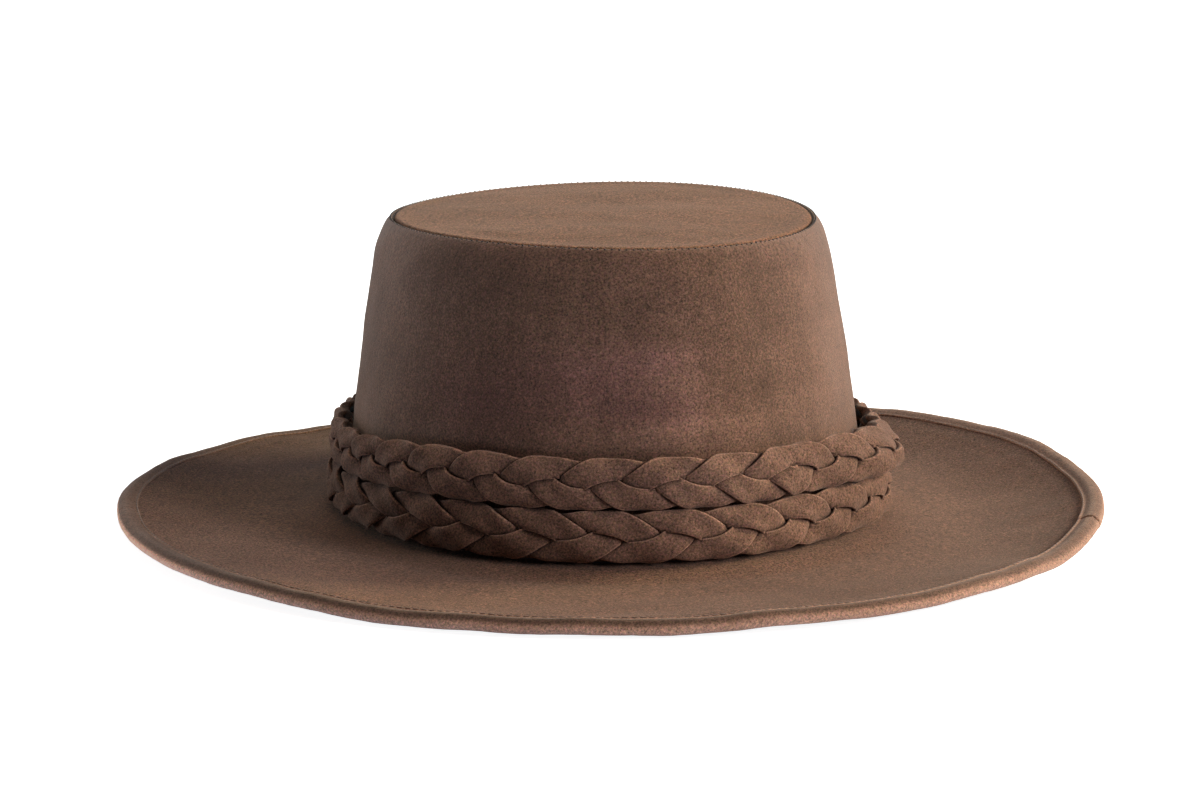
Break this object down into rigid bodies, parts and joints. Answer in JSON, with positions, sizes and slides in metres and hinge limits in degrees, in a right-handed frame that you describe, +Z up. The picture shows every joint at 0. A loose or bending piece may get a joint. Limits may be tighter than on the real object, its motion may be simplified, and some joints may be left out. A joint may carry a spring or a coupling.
{
  "type": "gaucho hat",
  "caption": "Flat topped suede hat with a tapered oval crown, a wide bound brim and stacked braids round the foot of the crown.",
  "frame": {"origin": "middle of the hat's box in plan, on the plane that the brim's flat ring rests on", "axes": "+Z up through the crown, front of the hat towards -Y, the long way of the hat along Y"},
  "size_m": [0.3213, 0.3566, 0.1019],
  "materials": {
    "crown_suede": "brushed suede nap, matte, mottled warm brown",
    "brim_suede": "brushed suede nap, matte, warm brown",
    "binding_suede": "folded suede strip, matte, with a worn lighter nap",
    "braid_suede": "folded suede strips, matte, with lighter cut edges"
  },
  "bodies": {
    "root": {"crown_side": "crown_suede", "crown_tip": "crown_suede", "brim": "brim_suede", "binding_front": "binding_suede", "binding_back": "binding_suede", "lower_braid_strand_1": "braid_suede", "lower_braid_strand_2": "braid_suede", "lower_braid_strand_3": "braid_suede", "upper_braid_strand_1": "braid_suede", "upper_braid_strand_2": "braid_suede", "upper_braid_strand_3": "braid_suede"}
  },
  "joints": []
}
